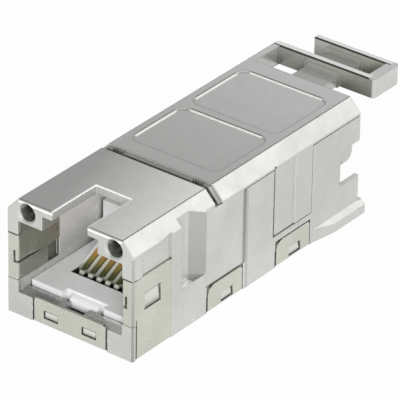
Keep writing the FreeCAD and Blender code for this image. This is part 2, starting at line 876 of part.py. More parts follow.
def shield_flap(body):
    """Large front flap on the right that wraps round the end of the wall into a sprung inner leaf."""
    outer, inner = HALF_WIDTH, CAVITY_HALF
    length = size("flap_end") - size("flap_step")
    features = [folded_side(body, "flap", size("flap_step"), length, size("flap_height"))]
    low = size("leaf_level") + SLIP
    lap = size("flap_step") + RUN_OUT
    wrap = [
        (outer, lap),
        (outer, 0),
        (inner, 0),
        (inner, lap),
        (inner + SHEET, lap),
        (inner + SHEET, SHEET),
        (outer - SHEET, SHEET),
        (outer - SHEET, lap),
    ]
    features.append(add(body, "wrap", "XY", low, size("flap_height"), wrap))
    bow = size("leaf_bow")
    crest = size("leaf_end") * 2 / 3
    leaf = [
        (inner, lap - SLIP),
        (inner - bow, crest),
        (inner - bow / 2, size("leaf_end")),
        (inner - bow / 2 + SHEET, size("leaf_end")),
        (inner - bow + SHEET, crest),
        (inner + SHEET, lap - SLIP),
    ]
    slit_low = size("leaf_slit_level")
    slit_high = slit_low + size("leaf_slit")
    features.append(add(body, "spring_leaf", "XY", slit_high, size("flap_height"), leaf))
    features.append(add(body, "lower_leaf", "XY", low, slit_low,
                        rectangle(inner, inner + SHEET, lap - SLIP, size("leaf_short_end"))))
    return features


def shield_slits(body):
    """Slits and windows in the right flap: the hooked slit that frees the leaf, and the snap window."""
    outer, inner = HALF_WIDTH, CAVITY_HALF
    slit_low = size("leaf_slit_level")
    slit_high = slit_low + size("leaf_slit")
    hook = inner + SHEET + size("leaf_slit")
    lap = size("flap_step") + RUN_OUT
    features = [cut(body, "leaf_slit", "XZ", -RUN_OUT, lap + SLIP,
                    rectangle(inner - RUN_OUT, inner + SHEET + SLIP, slit_low, slit_high))]
    features.append(cut(body, "hook_slit", "XZ", -RUN_OUT, SHEET + SLIP,
                        [(inner + SHEET, slit_low), (hook, slit_low), (hook, slit_high + RUN_OUT),
                         (inner + SHEET, slit_high + RUN_OUT)]))
    slit = size("flap_step")
    features.append(cut(body, "flap_slit", "YZ", outer - SHEET - SLIP, outer + RUN_OUT,
                        rectangle(slit - size("tab_gap"), slit, size("leaf_level"), size("wrap_level"))))
    start, low = size("flap_window_start"), size("flap_window_level")
    windows = [(start, size("flap_window_length"), low, size("flap_window_height"))]
    for number in range(2):
        start = size("tab_start") + size("tab_pitch") * number + size("window_offset")
        windows.append((start, size("window_length"), size("window_level"), size("window_height")))
    for number, (start, length, low, height) in enumerate(windows, start=1):
        window = rectangle(start, start + length, low, low + height)
        features.append(cut(body, f"window_{number}", "YZ", outer - SHEET - SLIP, outer + RUN_OUT, window))
    return features


def shield_rounds(body):
    """Bends of the sheet and the rounded corners of its tabs."""
    bends = [(x, 0) for x in both_sides(HALF_WIDTH)]
    soften(body, "side_bends", "Fillet", edges_along(body, "Y", bends), size("sheet_bend"))
    soften(body, "front_bend", "Fillet", edges_along(body, "X", [(0, 0)]), size("sheet_bend"))
    wraps = [(x, 0) for x in both_sides(HALF_WIDTH) + both_sides(CAVITY_HALF)]
    soften(body, "wrap_bends", "Fillet", edges_along(body, "Z", wraps), size("sheet_bend"))
    starts = [size("tab_start") + size("tab_pitch") * number for number in range(2)]
    high = size("tab_height")
    fronts = [(start, high) for start in starts]
    rears = [(start + size("tab_length"), high) for start in starts]
    soften(body, "tab_front_rounds", "Fillet", edges_along(body, "X", fronts), size("tab_front_round"))
    soften(body, "tab_rear_rounds", "Fillet", edges_along(body, "X", rears), size("tab_rear_round"))
    corners = [(x, high) for x in both_sides(FRONT_TAB_HALF)]
    soften(body, "front_tab_rounds", "Fillet", edges_along(body, "Y", corners), size("tab_rear_round"))


def make_shield():
    """Spring-steel shield folded from one sheet: bottom plate, front tab, two flaps and four side tabs."""
    body = new_body("shield_plate")
    half, front_half = PLATE_HALF, FRONT_TAB_HALF
    step, rear = size("flap_step"), size("foot_start") - SEAM - SLIP
    plate = [(-front_half, 0), (front_half, 0), (front_half, step), (half, step), (half, rear), (-half, rear),
             (-half, step), (-front_half, step)]
    add(body, "plate", "XY", 0, SHEET, plate)
    add(body, "front_tab", "XZ", 0, SHEET, rectangle(-front_half, front_half, 0, size("tab_height")))
    place, half_window = size("front_window_place"), size("front_window_width") / 2
    low = size("front_window_level")
    window = cut(body, "front_window", "XZ", -RUN_OUT, SHEET + SLIP,
                 rectangle(place - half_window, place + half_window, low, low + size("front_window_height")))
    mirror(body, "front_windows", [window])
    features = shield_flap(body)
    for number in range(2):
        start = size("tab_start") + size("tab_pitch") * number
        tab = folded_side(body, f"side_tab_{number + 1}", start, size("tab_length"), size("tab_height"))
        features.append(tab)
    features += shield_slits(body)
    mirror(body, "other_side", features)
    shield_rounds(body)
    return body


def contact_place(number):
    """Place of a contact across the socket."""
    return size("contact_pitch") * (number - (CONTACT_COUNT + 1) / 2)


def carrier_comb(body, low, high):
    """Window in the cavity's floor, and the sloping comb in it with a slot for each contact."""
    back = size("carrier_back_place")
    window = both_sides(size("window_width") / 2)
    cut(body, "window", "XY", low - RUN_OUT, high + RUN_OUT, rectangle(*window, size("window_start"), back))
    start, level = size("comb_start"), size("comb_level")
    top = level + (back - start) * tangent("comb_angle")
    comb = both_sides(size("contact_pitch") * (CONTACT_COUNT / 2) + size("comb_margin") / 2)
    add(body, "comb", "YZ", *comb, [(start, low), (back + SLIP, low), (back + SLIP, top), (start, level)])
    half = size("comb_slot") / 2
    places = [contact_place(number) for number in range(1, CONTACT_COUNT + 1)]
    slots = [rectangle(x - half, x + half, start - RUN_OUT, back - SLIP) for x in places]
    cut(body, "comb_slots", "XY", low - RUN_OUT, top + RUN_OUT, *slots)


def make_contact_carrier():
    """Moulded insert: floor of the plug cavity with the contact window, a back block and two rails."""
    body = new_body("contact_carrier")
    half = CAVITY_HALF - SLIP
    low, high = BOARD_TOP + SLIP, size("floor_level")
    start, rear = size("carrier_start"), size("partition_place") - SLIP
    notch, depth = size("carrier_notch") / 2, size("carrier_notch_depth")
    plate = [
        (-half, start),
        (-notch, start),
        (-notch, start + depth),
        (notch, start + depth),
        (notch, start),
        (half, start),
        (half, rear),
        (-half, rear),
    ]
    add(body, "floor", "XY", low, high, plate)
    back = both_sides(size("carrier_back_width") / 2)
    add(body, "back", "XZ", size("carrier_back_place"), rear,
        rectangle(*back, low, size("carrier_back_level")))
    lip_half = size("carrier_lip") / 2
    lip_top = high - size("carrier_lip_drop")
    lip_back = start + depth + SLIP
    lip_front = lip_back - size("carrier_lip_reach")
    add(body, "lip", "YZ", -lip_half, lip_half, rectangle(lip_front, lip_back, low, lip_top))
    front = edges_along(body, "X", [(lip_front, lip_top)])
    soften(body, "lip_round", "Fillet", front, size("carrier_lip_round"))
    carrier_comb(body, low, high)
    rail_outer = half - SLIP
    rail = add(body, "rail", "XY", SHEET + SLIP, low + SLIP,
               rectangle(rail_outer - size("rail_width"), rail_outer, start, size("rail_end")))
    mirror(body, "rails", [rail])
    return body


def contact_bend(body, x, low, centre):
    """Round bend of a contact: its section turned forward and up round a line across the socket."""
    half, thick = size("contact_width") / 2, size("contact_thickness")
    sketch = new_sketch(body, "bend", "XZ", centre[0])
    draw_outline(sketch, rectangle(x - half, x + half, low, low + thick))
    draw_axis(sketch, [(x + half, centre[1]), (x - half, centre[1])])
    return turn(body, "bend", sketch, 180 - size("rise_angle"))


def contact_rise(body, x, centre):
    """Straight stretch of a contact that rises into the plug cavity."""
    slope, along = sine("rise_angle"), cosine("rise_angle")
    outer, length, half = size("bend_radius"), size("rise_length"), size("contact_width") / 2
    inner = outer - size("contact_thickness")
    outline = []
    for radius, reach in ((outer, -SLIP), (outer, length), (inner, length), (inner, -SLIP)):
        y = centre[0] - radius * slope + reach * along
        z = centre[1] + radius * along + reach * slope
        outline.append((y, z))
    return add(body, "rise", "YZ", x - half, x + half, outline)


def make_contact(number):
    """One gold-plated spring strip: a tail on the board, a bend at the front and a rise into the cavity."""
    body = new_body(f"contact_{number}")
    x = contact_place(number)
    half = size("contact_width") / 2
    low = BOARD_TOP
    centre = size("bend_place"), low + size("bend_radius")
    add(body, "tail", "YZ", x - half, x + half,
        rectangle(centre[0], size("tail_end"), low, low + size("contact_thickness")))
    contact_bend(body, x, low, centre)
    contact_rise(body, x, centre)
    return body


def make_circuit_board():
    """Small circuit board that joins the contacts to the wiring blades."""
    body = new_body("circuit_board")
    across = both_sides(size("board_width") / 2)
    add(body, "board", "XY", BOARD_BOTTOM, BOARD_TOP,
        rectangle(*across, size("board_start"), size("board_end")))
    return body


def blade_places():
    """Centres of the wiring blades, row by row."""
    middle = (BLADES_PER_ROW - 1) / 2
    columns = [size("blade_pitch") * (column - middle) for column in range(BLADES_PER_ROW)]
    rows = [size("blade_row_one") + size("blade_row_pitch") * row for row in range(2)]
    return [(x, y) for y in rows for x in columns]


def make_idc_block():
    """Moulded block on the board that holds the wiring blades upright."""
    body = new_body("idc_block")
    across = both_sides(size("block_width") / 2)
    add(body, "block", "XY", BLOCK_BOTTOM, BLOCK_TOP,
        rectangle(*across, size("block_start"), size("block_end")))
    half_x = size("blade_width") / 2 + SLIP
    half_y = size("blade_thickness") / 2 + SLIP
    slots = [rectangle(x - half_x, x + half_x, y - half_y, y + half_y) for x, y in blade_places()]
    cut(body, "slots", "XY", BLOCK_BOTTOM - SLIP, BLOCK_TOP + RUN_OUT, *slots)
    return body


def make_idc_blade(number, x, y):
    """One forked blade that cuts through the insulation of a wire pressed into it."""
    body = new_body(f"idc_blade_{number}")
    half, slot = size("blade_width") / 2, size("blade_fork") / 2
    low = BLOCK_BOTTOM
    top = low + size("blade_height")
    fork = top - size("blade_fork_depth")
    shoulder = top - size("blade_mouth") / 2
    mouth = size("blade_mouth") / 2
    right = [(x + half, low), (x + half, top), (x + mouth, top), (x + slot, shoulder), (x + slot, fork)]
    left = [(x - slot, fork), (x - slot, shoulder), (x - mouth, top), (x - half, top), (x - half, low)]
    profile = right + left
    thick = size("blade_thickness") / 2
    add(body, "blade", "XZ", y - thick, y + thick, profile)
    return body


def make_wire_manager():
    """Moulded guide under the cover that holds eight wires over the blades, in two rows of holes."""
    body = new_body("wire_manager")
    across = both_sides(size("manager_width") / 2)
    low, high = BLOCK_TOP + SEAM, COVER_UNDERSIDE - SEAM
    add(body, "guide", "XZ", size("block_start"), size("manager_end"), rectangle(*across, low, high))
    half_x = size("blade_width") / 2 + SEAM
    half_y = size("blade_thickness") / 2 + SEAM
    blade_top = BLOCK_BOTTOM + size("blade_height") + SEAM
    slots = [rectangle(x - half_x, x + half_x, y - half_y, y + half_y) for x, y in blade_places()]
    cut(body, "slots", "XY", low - RUN_OUT, blade_top, *slots)
    columns = [x for x, y in blade_places()[:BLADES_PER_ROW]]
    rows = [low + size("channel_rise") + size("channel_row_pitch") * row for row in range(2)]
    rear = size("manager_end")
    drill(body, "channels", "XZ", rear - size("channel_depth"), rear + RUN_OUT,
          [(x, z) for z in rows for x in columns], size("channel_radius"))
    corners = [(x, high) for x in across]
    soften(body, "rear_rounds", "Fillet", edges_along(body, "Y", corners), size("manager_round"))
    return body


def check_model(bodies):
    """Stop if any feature failed or any piece is not a sound solid."""
    for feature in doc.Objects:
        if "Invalid" in feature.State or "Error" in feature.State:
            raise ValueError(f"{feature.Name} failed: {feature.State}")
    for body in bodies:
        if body.Shape.isNull() or not body.Shape.isValid() or len(body.Shape.Solids) != 1:
            raise ValueError(f"{body.Label} is not one sound solid")


def main():
    """Build every piece, check the model and write one file for each piece."""
    bodies = [make_housing(), make_rear_cover(), make_shield(), make_contact_carrier()]
    bodies += [make_contact(number) for number in range(1, CONTACT_COUNT + 1)]
    bodies += [make_circuit_board(), make_idc_block()]
    bodies += [make_idc_blade(number, x, y) for number, (x, y) in enumerate(blade_places(), start=1)]
    bodies.append(make_wire_manager())
    doc.recompute()
    check_model(bodies)
    for body in bodies:
        body.Shape.exportStep(f"parts/{body.Label}.step")
        box = body.Shape.BoundBox
        spans = [(box.XMin, box.XMax), (box.YMin, box.YMax), (box.ZMin, box.ZMax)]
        spans = ", ".join(f"{low:.2f}..{high:.2f}" for low, high in spans)
        print(f"{body.Label}: {body.Shape.Volume:.3f} mm3, {spans}")


main()
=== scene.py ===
import math
from collections import namedtuple

import bpy
from mathutils import Matrix, Vector

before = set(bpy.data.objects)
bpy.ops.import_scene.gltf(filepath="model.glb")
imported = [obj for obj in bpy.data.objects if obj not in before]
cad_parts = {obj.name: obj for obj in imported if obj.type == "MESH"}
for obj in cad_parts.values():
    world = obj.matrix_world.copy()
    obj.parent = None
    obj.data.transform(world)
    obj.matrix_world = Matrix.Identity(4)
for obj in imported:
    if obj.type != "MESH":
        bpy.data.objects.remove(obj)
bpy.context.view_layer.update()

bl_info = {
    "name": "Shielded network socket",
    "version": (1, 0, 0),
    "blender": (4, 5, 0),
    "location": "3D View > Sidebar > Socket",
    "description": "Dresses a die-cast network socket and sets it on a pale studio floor",
    "category": "Object",
}

MM = 0.001

# Camera: width of the picture in pixels and of the sensor in millimetres
IMAGE_WIDTH = 400
SENSOR = 36.0

# Directions across, along and up the socket
ACROSS, ALONG, UP = (1, 0, 0), (0, 1, 0), (0, 0, 1)

# A place of painted light or shade: its colour stands in for the light and shade that fall on that part of
# its piece. It has its bounds across, along and up in millimetres, its colours as (height, sRGB colour), how
# metallic it is, and bounds on a slant where it has any, as (direction, low, high).
PaintedShade = namedtuple("PaintedShade", "across along up colours metallic slants", defaults=((),))

# Painted shade in seams and corners: its colour, its reach in millimetres, and the openness at which it is
# full and ends
Seam = namedtuple("Seam", "colour reach full end")

# A rounded edge: its radius in millimetres, the colour of the painted highlight on upright edges, and the
# colour of the painted dark line on edges that leave a top
Edge = namedtuple("Edge", "radius upright top", defaults=(None, None))

# A round soft lamp: its place and size in metres, its power in watts, and whether it shows in the metal
Lamp = namedtuple("Lamp", "name place size power mirrored")

# Places that several tones share, in millimetres
BETWEEN_FLAPS = (-7.3, 7.3)
PAST_FLAPS = (-7.4, 7.4)
UNDER_EARS = ((-6.05, -3.0), (3.0, 6.05))
COMB_WIDTH = (-4.1, 4.1)
COMB_FRONT = -14.9
GROOVE_DEPTH = (6.4, 7.24)
BEVEL_PLANE = 18.03
COVER_FRONT = -8.17
RECESSES = ((-6.35, 1.75), (2.75, 11.1))
RECESS_CORNER = 1.0
RECESS_FLOOR = (12.0, 12.14)
RECESS_TOP = (12.16, 12.3)
TAB_FRONTS = (-10.15, 0.3)
TAB_WINDOWS = (-8.2, 2.25)
TAB_WINDOW_LENGTH = 1.85
BRACKET_BARS = (17.10, 20.60)
BAR_FRONT = (10.1, 12.08)
BAR_WIDTH = (-5.95, 5.3)
WEB_TOP = (11.2, 11.35)

# Plug cavity: painted light on the walls, pale at the top; painted shade under the ears and behind the left
# leaf
CAVITY_WALL_LIGHT = PaintedShade((-6.05, 6.05), (-20.8, -7.9), (2.45, 11.35), ((4.0, "#B2B2AE"), (8.5, "#FFFFFF")), 0.1)
EAR_SHADES = tuple(
    PaintedShade(across, (-20.95, -15.6), (8.3, 11.0), ((8.3, "#6E6F68"), (11.0, "#8E8F89")), 0.1)
    for across in UNDER_EARS
)
LEAF_POCKET_SHADE = PaintedShade((-7.2, -6.03), (-16.6, -14.7), (3.0, 5.7), ((3.0, "#5A5B51"), (5.7, "#6E6F64")), 0.3)
# Painted shade on the inside of the shield's leaves, lighter towards the top
LEAF_INSIDE_SHADE = PaintedShade((-6.95, 6.95), (-21.0, -13.0), (3.0, 10.0), ((4.0, "#8E8F84"), (9.0, "#9C9D90")), 0.5)

# Latch slot: painted light on its walls, and a bright rim of painted highlight round it and along the front
# of the ears
SLOT_WALL_LIGHT = PaintedShade((-2.1, 2.1), (-21.2, -14.8), (10.5, 12.15), ((10.5, "#B4B5B1"), (12.15, "#BEBFBB")), 0.3)
MOUTH_HIGHLIGHTS = (
    PaintedShade((-2.14, 2.14), (-21.2, -14.8), (12.08, 12.3), ((12.0, "#FFFFFF"), (12.3, "#FFFFFF")), 0.1),
    PaintedShade((-5.9, 5.9), (-21.4, -21.1), (11.85, 12.03), ((11.8, "#FFFFFF"), (12.1, "#FFFFFF")), 0.1),
)

# Front: a painted shadow in the gap over the flaps, and painted shade on the corner where the right flap
# turns
FLAP_GAP_SHADOW = PaintedShade(BETWEEN_FLAPS, (-21.4, -20.7), (8.24, 8.42), ((8.2, "#3A3B38"), (8.4, "#4A4B48")), 0.3)
FRONT_CORNER_SHADE = PaintedShade((7.08, 7.3), (-21.3, -21.04), (0.0, 10.6), ((0.0, "#9A9B94"), (10.6, "#B4B5B1")), 0.6)

# Snap wedges in the windows of the front tab, the flaps and the side tabs: painted shade below and above and
# a painted highlight between them
FRONT_WEDGE_SHADING = PaintedShade(
    (-4.4, 4.4),
    (-21.5, -21.0),
    (0.0, 2.6),
    ((0.85, "#8E8F8A"), (1.05, "#CFD0CB"), (1.35, "#DDDED9"), (1.55, "#A0A19B")),
    0.5,
)
FLAP_WEDGE_SHADING = PaintedShade(
    PAST_FLAPS,
    (-19.7, -17.0),
    (4.7, 6.65),
    ((4.9, "#8E8F88"), (5.3, "#CACBC5"), (6.0, "#D8D9D3"), (6.5, "#A2A39C")),
    0.5,
)
TAB_WEDGE_SHADING = tuple(
    PaintedShade(
        PAST_FLAPS,
        (front, front + TAB_WINDOW_LENGTH),
        (0.15, 1.3),
        ((0.3, "#8E8F88"), (0.5, "#CACBC5"), (0.9, "#D8D9D3"), (1.15, "#A2A39C")),
        0.5,
    )
    for front in TAB_WINDOWS
)

# Side walls: painted shade on the ramps of the guide grooves below the bevel and at the steps of the panels,
# and painted shadows in the gaps in front of the side tabs and on the fronts of the cover's skirts
GROOVE_SHADES = tuple(
    PaintedShade(
        sorted(side * depth for depth in GROOVE_DEPTH),
        (-12.4, -10.5),
        (4.3, 11.7),
        ((4.3, "#A6A7A2"), (10.0, "#B2B3AE")),
        0.6,
        (((side, 0, 1), 0, BEVEL_PLANE),),
    )
    for side in (-1, 1)
)
PANEL_STEP_SHADOWS = (
    PaintedShade(BETWEEN_FLAPS, (-4.80, -4.55), (2.8, 10.9), ((2.8, "#9E9F9B"), (10.9, "#8E8F8B")), 0.5),
    PaintedShade(BETWEEN_FLAPS, (-4.55, -4.25), (0.0, 10.8), ((0.0, "#B6B7B3"), (10.8, "#B0B1AD")), 0.5),
)
TAB_GAP_SHADOWS = tuple(
    PaintedShade(BETWEEN_FLAPS, (front - 0.28, front + 0.02), (0.0, 1.75), ((0.0, "#161715"), (1.75, "#2A2B29")), 0.2)
    for front in TAB_FRONTS
)
SKIRT_FRONT_SHADOWS = PaintedShade(BETWEEN_FLAPS, (-0.26, -0.05), (3.3, 10.9), ((3.3, "#2A2B28"), (10.0, "#4A4B48")), 0.3)

# Cover: painted shade on its front lip, and at the rear and left of each recess a painted highlight along the
# floor edge and painted shade along the top edge
COVER_LIP_SHADE = PaintedShade(
    BETWEEN_FLAPS,
    (COVER_FRONT - 0.5, COVER_FRONT),
    (10.6, 12.15),
    ((10.7, "#8E8F8C"), (12.1, "#A8A9A6")),
    0.6,
)
RIM_HIGHLIGHT = ((12.0, "#F2F3F0"), (12.14, "#F2F3F0"))
RIM_SHADE = ((12.1, "#6A6B68"), (12.3, "#6A6B68"))
SOFT_RIM_SHADE = ((12.1, "#8A8B88"), (12.3, "#8A8B88"))
RECESS_RIM_LIGHT = tuple(
    edge
    for front, rear in RECESSES
    for edge in (
        PaintedShade((-4.2, 4.2), (rear - 0.2, rear + 0.02), RECESS_FLOOR, RIM_HIGHLIGHT, 0.2),
        PaintedShade((-4.2, 4.2), (rear, rear + 0.15), RECESS_TOP, RIM_SHADE, 0.6),
        PaintedShade((-5.15, -4.9), (front + RECESS_CORNER, rear - RECESS_CORNER), RECESS_FLOOR, RIM_HIGHLIGHT, 0.2),
        PaintedShade((-5.25, -5.1), (front + RECESS_CORNER, rear - RECESS_CORNER), RECESS_TOP, SOFT_RIM_SHADE, 0.6),
    )
)

# Bracket: painted olive shade down the front of each bar, a little darker to the right of the web, painted
# shade on the top of the web before the bar, and along the top of the bar a painted dark line with a painted
# highlight strip behind it
BRACKET_LIGHT_AND_SHADE = tuple(
    tone
    for bar in BRACKET_BARS
    for tone in (
        PaintedShade((-6.0, 2.02), (bar - 0.45, bar + 0.05), BAR_FRONT, ((10.2, "#9C9D96"), (12.0, "#BCBDB6")), 0.5),
        PaintedShade((2.02, 5.6), (bar - 0.45, bar + 0.05), BAR_FRONT, ((10.2, "#96978C"), (12.0, "#BEBFB4")), 0.5),
        PaintedShade((-1.9, 1.9), (bar - 2.9, bar - 0.42), WEB_TOP, ((11.2, "#BEBFBB"), (11.3, "#C4C5C1")), 0.6),
        PaintedShade(BAR_WIDTH, (bar - 0.02, bar + 0.17), (12.08, 12.3), ((12.0, "#34352F"), (12.3, "#3A3B35")), 0.3),
        PaintedShade(BAR_WIDTH, (bar + 0.17, bar + 0.8), (12.15, 12.3), ((12.1, "#F0F0EE"), (12.3, "#F0F0EE")), 0.2),
    )
)

# Insert: painted shade on the comb between the contacts, dark below and pale above, and a painted shadow in
# the window under their noses
COMB_SHADE = PaintedShade(
    COMB_WIDTH,
    (COMB_FRONT, -9.0),
    (1.4, 5.3),
    (
        (1.7, "#1C1E18"),
        (2.3, "#24261F"),
        (2.75, "#A8A99C"),
        (3.2, "#D8D8CC"),
        (3.7, "#EEE4DA"),
        (5.2, "#EEE4DA"),
    ),
    0.0,
)
CONTACT_WINDOW_SHADOW = PaintedShade(
    COMB_WIDTH,
    (-16.15, COMB_FRONT),
    (1.4, 2.88),
    ((1.5, "#141611"), (2.88, "#23251E")),
    0.0,
)

# Contacts: painted shade low down, a painted highlight on the noses, then from painted olive shade to warm
# gold up the slope
CONTACT_SHADE_AND_HIGHLIGHT = PaintedShade(
    COMB_WIDTH,
    (-16.0, -9.0),
    (1.4, 5.3),
    (
        (1.9, "#15160E"),
        (2.28, "#2A2B1A"),
        (2.4, "#FFFFF2"),
        (2.58, "#FFFFF2"),
        (2.74, "#42442F"),
        (3.05, "#5E5E36"),
        (3.35, "#988844"),
        (3.7, "#C0904E"),
        (5.1, "#C08848"),
    ),
    0.35,
)

# Painted light and shade of each casting: places under its seam shade and edges, and lines drawn over them
CASTING_PAINTED_SHADES = {
    "housing": (
        CAVITY_WALL_LIGHT,
        SLOT_WALL_LIGHT,
        *EAR_SHADES,
        LEAF_POCKET_SHADE,
        *GROOVE_SHADES,
        FRONT_WEDGE_SHADING,
        FLAP_WEDGE_SHADING,
        *TAB_WEDGE_SHADING,
    ),
    "rear_cover": (COVER_LIP_SHADE,),
}
CASTING_PAINTED_LINES = {
    "housing": (FLAP_GAP_SHADOW, *PANEL_STEP_SHADOWS, *TAB_GAP_SHADOWS, *MOUTH_HIGHLIGHTS, FRONT_CORNER_SHADE),
    "rear_cover": (SKIRT_FRONT_SHADOWS, *RECESS_RIM_LIGHT, *BRACKET_LIGHT_AND_SHADE),
}

# Painted shade over the level tops of each casting, from darker to lighter, as a direction and (place, sRGB
# colour) along it
CASTING_TOP_SHADES = {
    "housing": ((1, 0.2, 0), ((-7.0, "#ACADAB"), (4.0, "#F2F3EE"))),
    "rear_cover": ((0.2, 0.98, 0), ((-5.0, "#BDBEBC"), (18.0, "#D6D7D6"))),
}

# Size in millimetres of the clouds in plating and in plastic, and of the dull spots in plating, which are
# drawn coarser than they are so that they show
PLATING_CLOUDS = 5.0
PLASTIC_CLOUDS = 4.0
PLATING_SPOTS = 1.5

# Noise values between which clouds and dull spots change, and how far a spot is shinier or duller
CLOUD_NOISE = (0.35, 0.65)
SPOT_NOISE = (0.3, 0.7)
SHINIER, DULLER_PLATING, DULLER_PLASTIC = 0.05, 0.06, 0.05

# Samples for the rounding of edges and for the painted seam shade, and the cosine of the turn at which an
# edge has its full painted highlight
EDGE_SAMPLES = 6
SEAM_SAMPLES = 8
FULL_EDGE_COSINE = 0.86

# Height of the surface's normal on a level top, on edges between upright and lying where the painted
# highlight fades, and where a rounded edge leaves a top, with the strength of the painted dark line there
BLACK, WHITE = (0.0, 0.0, 0.0), (1.0, 1.0, 1.0)
LEVEL = 0.99
UPRIGHT_EDGE = (0.3, 0.6)
RIDGE_SHADE_LINE = ((0.74, BLACK), (0.80, WHITE), (0.95, WHITE), (0.985, BLACK))

# Mouldings and board: radius of their edges, and size and depth of their grain, in millimetres
BLOCK_EDGE = 0.08
BOARD_EDGE = 0.03
ERODED_GRAIN = (0.12, 0.004)
BOARD_GRAIN = (0.3, 0.002)
GRAIN_STRENGTH = 0.3

# Studio: size of the floor in metres, how white it is in the metal and to the camera, and how bright the room
# is from left to right and from low to high
FLOOR_SIZE = 3.0
FLOOR_IN_METAL = 0.45
FLOOR_TO_CAMERA = 0.96
ROOM_ACROSS = ((0.15, (0.64, 0.64, 0.635)), (0.85, WHITE))
ROOM_UP = ((0.55, WHITE), (0.80, (0.30, 0.30, 0.30)))
LAMPS = (
    Lamp("right_softbox", (0.42, 0.35, 0.45), size=0.5, power=0.5, mirrored=True),
    Lamp("front_softbox", (0.38, -0.56, 0.28), size=0.4, power=3.8, mirrored=False),
)

# Pieces that share one finish
CASTINGS = ("housing", "rear_cover")
SHIELDS = ("shield_plate",)
INSERTS = ("contact_carrier",)
BOARDS = ("circuit_board",)
WIRING_BLOCKS = ("idc_block", "wire_manager")
CONTACTS = tuple(
    name for name in sorted(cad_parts) if name.startswith("contact_") and name not in INSERTS
)
BLADES = tuple(name for name in sorted(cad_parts) if name.startswith("idc_blade_"))


def linear_colour(hex_code):
    """Turn an sRGB hex colour into the linear colour that a shader takes."""
    channels = [int(hex_code[place:place + 2], 16) / 255 for place in (1, 3, 5)]
    return tuple(c / 12.92 if c <= 0.04045 else ((c + 0.055) / 1.055) ** 2.4 for c in channels)


def add_node(tree, kind, settings=None, inputs=None, links=None):
    """Add a node with its settings and input values, and link it to outputs of other nodes."""
    node = tree.nodes.new(kind)
    for name, value in (settings or {}).items():
        setattr(node, name, value)
    for name, value in (inputs or {}).items():
        node.inputs[name].default_value = value
    for name, output in (links or {}).items():
        tree.links.new(output, node.inputs[name])
    return node


def new_material(name):
    """Start a material with an empty node tree."""
    material = bpy.data.materials.new(name)
    material.use_nodes = True
    material.node_tree.nodes.clear()
    return material, material.node_tree


def colour_ramp(tree, factor, stops):
    """Add a colour ramp with the given places and colours."""
    ramp = add_node(tree, "ShaderNodeValToRGB", links={"Fac": factor})
    elements = ramp.color_ramp.elements
    while len(elements) < len(stops):
        elements.new(0.5)
    for element, (place, colour) in zip(elements, stops):
        element.position = place
        element.color = (*colour, 1.0)
    return ramp


def mixed(tree, factor, first, second):
    """Mix two colour outputs."""
    mix = add_node(tree, "ShaderNodeMix", {"data_type": "RGBA"}, links={0: factor, 6: first, 7: second})
    return mix.outputs[2]


def surface_noise(tree, size_mm, detail=2.0):
    """Noise over the piece, with features of about the given size."""
    place = add_node(tree, "ShaderNodeTexCoord")
    return add_node(
        tree,
        "ShaderNodeTexNoise",
        inputs={"Scale": 1.0 / (size_mm * MM), "Detail": detail, "Roughness": 0.55},
        links={"Vector": place.outputs["Object"]},
    )


def clouded(tree, size_mm, colours, metallic, detail=2.0):
    """Soft clouds between two tones, and an even metallic value."""
    clouds = surface_noise(tree, size_mm, detail)
    stops = [(place, linear_colour(colour)) for place, colour in zip(CLOUD_NOISE, colours)]
    tone = colour_ramp(tree, clouds.outputs["Fac"], stops)
    shine = add_node(tree, "ShaderNodeValue")
    shine.outputs[0].default_value = metallic
    return tone.outputs["Color"], shine.outputs[0]


def place_along(tree, direction):
    """Place along a direction, in metres."""
    place = add_node(tree, "ShaderNodeTexCoord")
    along = add_node(
        tree,
        "ShaderNodeVectorMath",
        {"operation": "DOT_PRODUCT"},
        {1: direction},
        {0: place.outputs["Object"]},
    )
    return along.outputs["Value"]


def place_ramp(tree, direction, stops):
    """Colour that drifts along a direction, by (place in millimetres, sRGB colour)."""
    low, high = stops[0][0], stops[-1][0]
    share = add_node(
        tree,
        "ShaderNodeMapRange",
        inputs={"From Min": low * MM, "From Max": high * MM},
        links={"Value": place_along(tree, direction)},
    )
    places = [((place - low) / (high - low), linear_colour(colour)) for place, colour in stops]
    return colour_ramp(tree, share.outputs["Result"], places)


def shade_level_tops(tree, colour, direction, stops):
    """Paint shade over the level tops of a piece, from darker to lighter along a direction."""
    shaded_tops = place_ramp(tree, direction, stops)
    facing = add_node(tree, "ShaderNodeNewGeometry")
    normal = add_node(tree, "ShaderNodeSeparateXYZ", links={0: facing.outputs["Normal"]})
    level = add_node(
        tree,
        "ShaderNodeMath",
        {"operation": "GREATER_THAN"},
        {1: LEVEL},
        {0: normal.outputs["Z"]},
    )
    return mixed(tree, level.outputs[0], colour, shaded_tops.outputs["Color"])


def within(tree, tone):
    """Value that is one inside the bounds of a place of painted light or shade and zero elsewhere."""
    mask = None
    for direction, low, high in ((ACROSS, *tone.across), (ALONG, *tone.along), (UP, *tone.up), *tone.slants):
        along = place_along(tree, direction)
        for limit, test in ((low, "GREATER_THAN"), (high, "LESS_THAN")):
            side = add_node(tree, "ShaderNodeMath", {"operation": test}, {1: limit * MM}, {0: along})
            if mask:
                side = add_node(
                    tree,
                    "ShaderNodeMath",
                    {"operation": "MULTIPLY"},
                    links={0: side.outputs[0], 1: mask},
                )
            mask = side.outputs[0]
    return mask


def lay_painted_shade(tree, colour, shine, painted_shades):
    """Lay painted light and shade over a colour, and the metallic value of each place over the metallic
    value.
    """
    for tone in painted_shades:
        mask = within(tree, tone)
        shades = place_ramp(tree, UP, tone.colours)
        colour = mixed(tree, mask, colour, shades.outputs["Color"])
        blend = add_node(tree, "ShaderNodeMix", inputs={3: tone.metallic}, links={0: mask, 2: shine})
        shine = blend.outputs[0]
    return colour, shine


